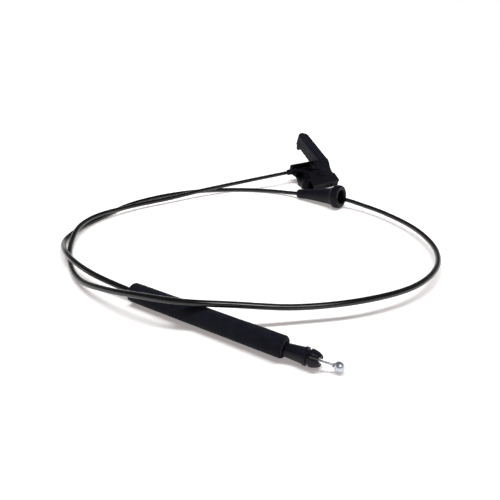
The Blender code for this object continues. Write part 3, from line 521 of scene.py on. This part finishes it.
# %% [markdown]
# ## Moulded edges
# No edge of a moulding is sharp: the tool's corners give it a radius of a few tenths of a
# millimetre, and that thin curve is what catches the light. A copy of each rigid CAD piece
# has its loose triangles merged, flat faces are made whole again, and a Bevel modifier
# rounds what is left.

# %% Rounded copies of the rigid pieces
EDGE_ANGLE = math.radians(32.0)
FLAT_ANGLE = math.radians(1.0)
CAD_MERGE = 0.002 * METRES


def with_round_edges(node, name, radius, body):
    """A copy of a CAD node whose edges get a radius in millimetres; it replaces the node."""
    shape = bmesh.new()
    shape.from_mesh(NODES[node].data)
    bmesh.ops.remove_doubles(shape, verts=shape.verts, dist=CAD_MERGE)
    bmesh.ops.dissolve_limit(shape, angle_limit=FLAT_ANGLE, verts=shape.verts, edges=shape.edges)
    mesh = bpy.data.meshes.new(name)
    shape.to_mesh(mesh)
    shape.free()
    mesh.shade_smooth()
    mesh.set_sharp_from_angle(angle=EDGE_ANGLE)
    piece = bpy.data.objects.new(name, mesh)
    bpy.context.scene.collection.objects.link(piece)
    bevel = piece.modifiers.new("mould_radius", "BEVEL")
    bevel.width = radius * METRES
    bevel.segments = 2
    bevel.limit_method = "ANGLE"
    bevel.angle_limit = EDGE_ANGLE
    bevel.harden_normals = True
    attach(piece, body)
    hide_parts(node)
    print(name, "faces before rounding:", len(mesh.polygons))
    return piece


bracket = with_round_edges("bracket", "bracket_moulding", 0.3, "housing")
lever = with_round_edges("lever", "lever_moulding", 0.35, "lever")
handle_ferrule = with_round_edges("handle_ferrule", "handle_ferrule_moulding", 0.2, "housing")
snap_ferrule = with_round_edges("snap_ferrule", "snap_ferrule_moulding", 0.25, "housing")
pivot_pin = with_round_edges("pivot_pin", "pivot_pin_turned", 0.12, "housing")

# %% [markdown]
# ## Colours and shader nodes
# Colours are written as they look on a screen and turned to the linear values that Blender
# lights with. One small function adds a node, sets it, and links it.

# %% Shader helpers
def linear(hex_colour):
    """The linear colour, with alpha, of an sRGB colour in hex."""
    values = [int(hex_colour[i:i + 2], 16) / 255.0 for i in (0, 2, 4)]
    return (*[v / 12.92 if v <= 0.04045 else ((v + 0.055) / 1.055) ** 2.4 for v in values], 1.0)


def add_node(tree, kind, inputs=None, **settings):
    """Add a node; an input is a value, or another node's output to link."""
    node = tree.nodes.new(kind)
    for key, value in settings.items():
        setattr(node, key, value)
    for key, value in (inputs or {}).items():
        if isinstance(value, bpy.types.NodeSocket):
            tree.links.new(value, node.inputs[key])
        else:
            node.inputs[key].default_value = value
    return node


def new_material(name):
    """A material with a Principled shader; returns it with its tree, shader and coordinates."""
    material = bpy.data.materials.new(name)
    material.use_nodes = True
    tree = material.node_tree
    at = tree.nodes.new("ShaderNodeTexCoord").outputs["Object"]
    return material, tree, tree.nodes["Principled BSDF"], at


def per_mm(size):
    """Scale of a texture whose features are this many millimetres across."""
    return 1.0 / (size * METRES)


print("mid grey in linear light:", round(linear("808080")[0], 3), "scale of 1 mm:", round(per_mm(1.0)))

# %% [markdown]
# ## Moulded black nylon
# Bracket and lever are glass-filled nylon (PA6-GF), black all through, moulded in a
# spark-eroded tool. That gives a fine even grain and a satin sheen, a little uneven where
# the melt cooled. The real grain is about 0.1 mm and would vanish here, so it is drawn at
# 0.5 mm, and at 0.7 mm on the lever, which is coarser. A Bevel node finds the edges, which
# are painted lighter, partly as wear from handling and partly as a painted highlight where
# they catch the light. The ferrules are smoother acetal, a little glossier.

# %% Nylon
# Colour of the edges: wear and a painted highlight.
EDGE_WEAR_AND_HIGHLIGHT = linear("2a2b30")


def moulded_nylon(name, dark, light, roughness, grain_mm=0.5, grain=0.06, shine=0.12):
    """A grained black plastic between two colours, its edges painted lighter as wear and as a painted
    highlight.
    """
    material, tree, shader, at = new_material(name)
    slow = add_node(tree, "ShaderNodeTexNoise", {"Vector": at, "Scale": per_mm(14.0), "Detail": 3.0})
    fine = add_node(tree, "ShaderNodeTexNoise", {"Vector": at, "Scale": per_mm(grain_mm), "Detail": 2.0})
    shade = add_node(tree, "ShaderNodeMapRange", {"Value": slow.outputs["Fac"],
                                                  "From Min": 0.3, "From Max": 0.7})
    colour = add_node(tree, "ShaderNodeMix", {"Factor": shade.outputs["Result"], "A": linear(dark),
                                              "B": linear(light)}, data_type="RGBA")
    # Painted highlight and wear: where the bevelled normal turns from the face's normal, the colour is mixed
    # towards a lighter grey.
    edge = add_node(tree, "ShaderNodeBevel", {"Radius": 0.5 * METRES}, samples=6)
    face = tree.nodes.new("ShaderNodeNewGeometry")
    match = add_node(tree, "ShaderNodeVectorMath", {0: edge.outputs["Normal"], 1: face.outputs["Normal"]},
                     operation="DOT_PRODUCT")
    edge_wear_and_highlight_mask = add_node(tree, "ShaderNodeMapRange", {"Value": match.outputs["Value"],
                                                "From Min": 0.995, "From Max": 0.9,
                                                "To Min": 0.0, "To Max": 0.5})
    worn_and_highlit_colour = add_node(tree, "ShaderNodeMix", {"Factor": edge_wear_and_highlight_mask.outputs["Result"], "A": colour.outputs["Result"],
                                            "B": EDGE_WEAR_AND_HIGHLIGHT}, data_type="RGBA")
    gloss = add_node(tree, "ShaderNodeMapRange", {"Value": slow.outputs["Fac"],
                                                  "From Min": 0.3, "From Max": 0.7,
                                                  "To Min": roughness - 0.05, "To Max": roughness + 0.06})
    bump = add_node(tree, "ShaderNodeBump", {"Height": fine.outputs["Fac"], "Strength": grain * 4.0,
                                             "Distance": 0.08 * METRES})
    tree.links.new(worn_and_highlit_colour.outputs["Result"], shader.inputs["Base Color"])
    tree.links.new(gloss.outputs["Result"], shader.inputs["Roughness"])
    tree.links.new(bump.outputs["Normal"], shader.inputs["Normal"])
    shader.inputs["Specular IOR Level"].default_value = shine
    return material


# Painted shade: the bracket is the same nylon as the lever, given darker colours because its walls stand in
# shade.
bracket_nylon_painted_shade = moulded_nylon("glass_filled_nylon_bracket", "09090e", "101017", 0.46, shine=0.08)
lever_nylon = moulded_nylon("glass_filled_nylon_lever", "101018", "191a24", 0.58, grain_mm=0.7, grain=0.09)
ferrule_acetal = moulded_nylon("acetal_ferrule", "0c0c14", "151520", 0.36, grain=0.03, shine=0.2)
print("plastics:", bracket_nylon_painted_shade.name, lever_nylon.name, ferrule_acetal.name)

# %% [markdown]
# ## Extruded sheath
# The conduit is a coiled steel liner under a skin of black polypropylene, drawn through a
# round die. The skin is smooth and glossy, with faint ripples where the liner's turns show
# through, and a film of dust that dulls it in patches.

# %% Sheath plastic
sheath_plastic, tree, shader, at = new_material("extruded_polypropylene")
dust = add_node(tree, "ShaderNodeTexNoise", {"Vector": at, "Scale": per_mm(9.0), "Detail": 5.0})
film = add_node(tree, "ShaderNodeMapRange", {"Value": dust.outputs["Fac"],
                                             "From Min": 0.45, "From Max": 0.75})
skin = add_node(tree, "ShaderNodeMix", {"Factor": film.outputs["Result"], "A": linear("09090b"),
                                        "B": linear("121215")}, data_type="RGBA")
dull = add_node(tree, "ShaderNodeMapRange", {"Value": dust.outputs["Fac"], "From Min": 0.4, "From Max": 0.75,
                                             "To Min": 0.16, "To Max": 0.26})
ripple = add_node(tree, "ShaderNodeTexNoise", {"Vector": at, "Scale": per_mm(5.0), "Detail": 0.0})
soft = add_node(tree, "ShaderNodeBump", {"Height": ripple.outputs["Fac"], "Strength": 0.02,
                                         "Distance": 0.1 * METRES})
tree.links.new(skin.outputs["Result"], shader.inputs["Base Color"])
tree.links.new(dull.outputs["Result"], shader.inputs["Roughness"])
tree.links.new(soft.outputs["Normal"], shader.inputs["Normal"])
print(sheath_plastic.name, "nodes:", len(tree.nodes))

# %% [markdown]
# ## Moulded rubber
# The grommet is EPDM rubber: softer black than the nylon, with a faint bloom on the
# surface and a broad dull highlight. Its skin is as fine as the mould's, about 0.1 mm, and
# is drawn at 0.8 mm so that it shows.

# %% Rubber
grommet_rubber, tree, shader, at = new_material("epdm_rubber")
bloom = add_node(tree, "ShaderNodeTexNoise", {"Vector": at, "Scale": per_mm(6.0), "Detail": 6.0})
cloud = add_node(tree, "ShaderNodeMapRange", {"Value": bloom.outputs["Fac"],
                                              "From Min": 0.4, "From Max": 0.7})
tone = add_node(tree, "ShaderNodeMix", {"Factor": cloud.outputs["Result"], "A": linear("0b0b13"),
                                        "B": linear("14141e")}, data_type="RGBA")
dull = add_node(tree, "ShaderNodeMapRange", {"Value": bloom.outputs["Fac"], "From Min": 0.35, "From Max": 0.7,
                                             "To Min": 0.38, "To Max": 0.52})
grit = add_node(tree, "ShaderNodeTexNoise", {"Vector": at, "Scale": per_mm(0.8), "Detail": 2.0})
soft = add_node(tree, "ShaderNodeBump", {"Height": grit.outputs["Fac"], "Strength": 0.2,
                                         "Distance": 0.08 * METRES})
shader.inputs["Specular IOR Level"].default_value = 0.13
tree.links.new(tone.outputs["Result"], shader.inputs["Base Color"])
tree.links.new(dull.outputs["Result"], shader.inputs["Roughness"])
tree.links.new(soft.outputs["Normal"], shader.inputs["Normal"])
print(grommet_rubber.name, "nodes:", len(tree.nodes))

# %% [markdown]
# ## Closed-cell foam
# The sleeve is polyethylene foam. Its skin is a mass of tiny closed bubbles, so it has no
# gloss at all and looks evenly dark grey, with a slight sheen at the rim. Real cells are
# about 0.4 mm; they are drawn at 0.9 mm so that they show.

# %% Foam
cell_foam, tree, shader, at = new_material("closed_cell_foam")
cells = add_node(tree, "ShaderNodeTexVoronoi", {"Vector": at, "Scale": per_mm(0.9)}, feature="F1")
patch = add_node(tree, "ShaderNodeTexNoise", {"Vector": at, "Scale": per_mm(7.0), "Detail": 4.0})
# Painted shade: the colour darkens towards the cell edges, in the grooves that the bump sinks between the
# cells.
painted_shade_between_cells = add_node(tree, "ShaderNodeMath", {0: cells.outputs["Distance"], 1: 0.45}, operation="MULTIPLY")
blend = add_node(tree, "ShaderNodeMath", {0: patch.outputs["Fac"], 1: painted_shade_between_cells.outputs["Value"]},
                 operation="SUBTRACT")
tone = add_node(tree, "ShaderNodeMapRange", {"Value": blend.outputs["Value"],
                                             "From Min": 0.0, "From Max": 0.6})
colour = add_node(tree, "ShaderNodeMix", {"Factor": tone.outputs["Result"], "A": linear("0b0c14"),
                                          "B": linear("171824")}, data_type="RGBA")
pits = add_node(tree, "ShaderNodeBump", {"Height": cells.outputs["Distance"], "Strength": 0.55,
                                         "Distance": 0.25 * METRES}, invert=True)
tree.links.new(colour.outputs["Result"], shader.inputs["Base Color"])
tree.links.new(pits.outputs["Normal"], shader.inputs["Normal"])
shader.inputs["Roughness"].default_value = 0.95
shader.inputs["Specular IOR Level"].default_value = 0.15
shader.inputs["Sheen Weight"].default_value = 0.08
print(cell_foam.name, "nodes:", len(tree.nodes))

# %% [markdown]
# ## Metals
# The rope is galvanised steel, bright but not polished. The ball is a zinc casting, a paler
# and softer metal with a fine cast skin. The pivot pin is phosphated steel, almost black.
# The pin's clip and the liner in the ferrule are plain drawn steel. At the handle the rope
# and its steel barrel are bright steel too, but they lie in shade inside the bracket, and
# that shade is painted into their colour, which makes them dark.

# %% Metals
def metal(name, dark, light, roughness, grain_mm, grain):
    """A metal mottled between two colours, with a fine grain of its own size and depth."""
    material, tree, shader, at = new_material(name)
    mottle = add_node(tree, "ShaderNodeTexNoise", {"Vector": at, "Scale": per_mm(grain_mm), "Detail": 4.0})
    colour = add_node(tree, "ShaderNodeMix", {"Factor": mottle.outputs["Fac"], "A": linear(dark),
                                              "B": linear(light)}, data_type="RGBA")
    gloss = add_node(tree, "ShaderNodeMapRange", {"Value": mottle.outputs["Fac"], "To Min": roughness - 0.08,
                                                  "To Max": roughness + 0.1})
    bump = add_node(tree, "ShaderNodeBump", {"Height": mottle.outputs["Fac"], "Strength": grain,
                                             "Distance": 0.05 * METRES})
    tree.links.new(colour.outputs["Result"], shader.inputs["Base Color"])
    tree.links.new(gloss.outputs["Result"], shader.inputs["Roughness"])
    tree.links.new(bump.outputs["Normal"], shader.inputs["Normal"])
    shader.inputs["Metallic"].default_value = 1.0
    return material


rope_steel = metal("galvanised_steel", "a9abae", "d6d8db", roughness=0.3, grain_mm=0.6, grain=0.1)
cast_zinc = metal("cast_zinc", "b4bac4", "dce2ea", roughness=0.4, grain_mm=1.2, grain=0.12)
liner_steel = metal("drawn_steel", "b4b6b8", "dcdee0", roughness=0.3, grain_mm=1.0, grain=0.05)
pin_steel = metal("phosphated_steel", "1c1c1f", "34353a", roughness=0.42, grain_mm=0.8, grain=0.15)
# The handle's rope and barrel: bright steel painted dark, as painted shade inside the bracket.
steel_painted_shade = metal("steel_with_painted_shade", "2b2a28", "55534f", roughness=0.36, grain_mm=1.4, grain=0.12)
print("metals:", [item.name for item in (rope_steel, cast_zinc, liner_steel, pin_steel, steel_painted_shade)])

# %% [markdown]
# ## Giving each piece its finish
# New pieces get a material of this lesson and name the slot of the part's record that they
# stand for. Three small CAD pieces are right as they are, so they only change material:
# the pin's clip, the liner in the snap ferrule and the barrel on the wire.

# %% Give each piece its finish
FINISH = {
    bracket: (bracket_nylon_painted_shade, "black_nylon"),
    lever: (lever_nylon, "black_nylon"),
    handle_ferrule: (ferrule_acetal, "black_nylon"),
    snap_ferrule: (ferrule_acetal, "black_nylon"),
    cable_sheath: (sheath_plastic, "black_sheath"),
    grommet_skin: (grommet_rubber, "black_rubber"),
    foam_sleeve: (cell_foam, "charcoal_foam"),
    latch_rope: (rope_steel, "bright_steel"),
    handle_rope: (steel_painted_shade, "bright_steel"),
    cast_ball: (cast_zinc, "cast_zinc"),
    pivot_pin: (pin_steel, "dark_steel"),
    web: (lever_nylon, "black_nylon"),
    neck_fill: (lever_nylon, "black_nylon"),
    tray_floor: (bracket_nylon_painted_shade, "black_nylon"),
    lip: (lever_nylon, "black_nylon"),
}
CARRIED_OVER = {"pin_clip": liner_steel, "ferrule_liner": liner_steel, "cable_nipple": steel_painted_shade}
for piece, (material, slot) in FINISH.items():
    piece.data.materials.clear()
    piece.data.materials.append(material)
for node, material in CARRIED_OVER.items():
    NODES[node].data.materials.clear()
    NODES[node].data.materials.append(material)
print("finished pieces:", len(FINISH), "carried over:", len(CARRIED_OVER))

# %% [markdown]
# ## The cable's length
# The whole cable shows in the photograph, so its length is the photographed one. It leaves
# the handle's ferrule and ends in the snap ferrule, with the core and the ball beyond.

# %% [markdown]
# ## Paper floor
# The photograph is a product shot on white paper. The floor is one large sheet of matte
# paper that takes the shadows. For the eye alone it also glows, faintly at the part and
# fully from 0.75 m away, so that it looks plain white without any more light on the part.
# Light Path tells what is seen, in the open, in a mirror or through glass, from the light
# that falls on surfaces.

# %% Floor
STAGE_CENTRE = (-0.15, -0.1)
BELOW_THE_PART = 0.0001


def for_the_eye(tree):
    """1 for what is seen, in the open, in a mirror or through glass, and 0 for light on surfaces."""
    ray = tree.nodes.new("ShaderNodeLightPath")
    direct = add_node(tree, "ShaderNodeMath", {0: ray.outputs["Is Camera Ray"],
                                               1: ray.outputs["Is Transmission Ray"]}, operation="MAXIMUM")
    return add_node(tree, "ShaderNodeMath", {0: direct.outputs["Value"], 1: ray.outputs["Is Glossy Ray"]},
                    operation="MAXIMUM").outputs["Value"]


floor_shape = bmesh.new()
bmesh.ops.create_grid(floor_shape, x_segments=1, y_segments=1, size=5.0)
floor_mesh = bpy.data.meshes.new("floor")
floor_shape.to_mesh(floor_mesh)
floor_shape.free()
floor = bpy.data.objects.new("floor", floor_mesh)
floor.location = (*STAGE_CENTRE, -BELOW_THE_PART)
bpy.context.scene.collection.objects.link(floor)
print("floor metres across:", round(floor.dimensions.x, 1))

# %% Paper
paper = bpy.data.materials.new("white_paper")
paper.use_nodes = True
tree = paper.node_tree
tree.nodes.clear()
at = tree.nodes.new("ShaderNodeTexCoord").outputs["Object"]
away = add_node(tree, "ShaderNodeVectorMath", {0: at}, operation="LENGTH").outputs["Value"]
far = add_node(tree, "ShaderNodeMapRange", {"Value": away, "From Min": 0.3, "From Max": 0.75,
                                            "To Min": 0.3}).outputs["Result"]
bright = add_node(tree, "ShaderNodeMath", {0: far, 1: for_the_eye(tree)}, operation="MULTIPLY")
matte = add_node(tree, "ShaderNodeBsdfDiffuse", {"Color": linear("f6f6f6")})
glow = add_node(tree, "ShaderNodeEmission", {"Color": (1.0, 0.92, 0.9, 1.0),
                                             "Strength": bright.outputs["Value"]})
both = add_node(tree, "ShaderNodeAddShader", {0: matte.outputs["BSDF"], 1: glow.outputs["Emission"]})
add_node(tree, "ShaderNodeOutputMaterial", {"Surface": both.outputs["Shader"]})
floor_mesh.materials.append(paper)
print(paper.name, "nodes:", len(tree.nodes))

# %% [markdown]
# ## The room
# The room is a dim grey that fills the shadows a little. It is dark above, which keeps the
# black plastic black. A low white screen stands all round at the horizon, again only for
# the eye, so that the paper runs on into white.

# %% Room
ROOM_LEVEL = 0.14
world = bpy.data.worlds.new("studio")
bpy.context.scene.world = world
world.use_nodes = True
tree = world.node_tree
tree.nodes.clear()
heading = tree.nodes.new("ShaderNodeTexCoord").outputs["Generated"]
rise = add_node(tree, "ShaderNodeSeparateXYZ", {"Vector": heading}).outputs["Z"]
low = add_node(tree, "ShaderNodeMapRange", {"Value": rise, "From Min": 0.16, "From Max": 0.24,
                                            "To Min": 1.0, "To Max": 0.0}).outputs["Result"]
screen = add_node(tree, "ShaderNodeMath", {0: low, 1: for_the_eye(tree)},
                  operation="MULTIPLY").outputs["Value"]
level = add_node(tree, "ShaderNodeMapRange", {"Value": screen, "To Min": ROOM_LEVEL, "To Max": 1.0})
sky = add_node(tree, "ShaderNodeBackground", {"Color": (1.0, 1.0, 1.0, 1.0),
                                              "Strength": level.outputs["Result"]})
add_node(tree, "ShaderNodeOutputWorld", {"Surface": sky.outputs["Background"]})
print(world.name, "nodes:", len(tree.nodes))

# %% [markdown]
# ## Lamps
# Shadows lie straight below the cable. They are narrow where it runs across the picture
# and wide where it runs away from the camera, so the main lamp is a long strip overhead,
# parallel to the picture. A softbox over the camera only makes highlights, such as the
# thin line of light along the front of the loop.

# %% Lamps
def lamp(name, location, target, size, watts, turn=0.0):
    """An area lamp in metres that faces its target, turned about its own line by degrees."""
    light = bpy.data.lights.new(name, "AREA")
    light.shape = "RECTANGLE"
    light.size, light.size_y = size
    light.energy = watts
    item = bpy.data.objects.new(name, light)
    aim = (Vector(target) - Vector(location)).to_track_quat("-Z", "Y").to_matrix().to_4x4()
    item.matrix_world = Matrix.Translation(location) @ aim @ Matrix.Rotation(math.radians(turn), 4, "Z")
    bpy.context.scene.collection.objects.link(item)
    return item


overhead = lamp("overhead_strip", location=(*STAGE_CENTRE, 1.2), target=(*STAGE_CENTRE, 0.0),
                size=(1.5, 0.18), watts=18.0, turn=-37.3)
overhead.visible_glossy = False
front = lamp("front_box", location=(-0.35, -0.93, 1.19), target=(-0.24, -0.26, 0.0),
             size=(0.36, 0.5), watts=7.0)
front.visible_diffuse = False
bpy.context.scene.view_settings.view_transform = "Standard"
print("lamps in watts:", overhead.data.energy, front.data.energy)
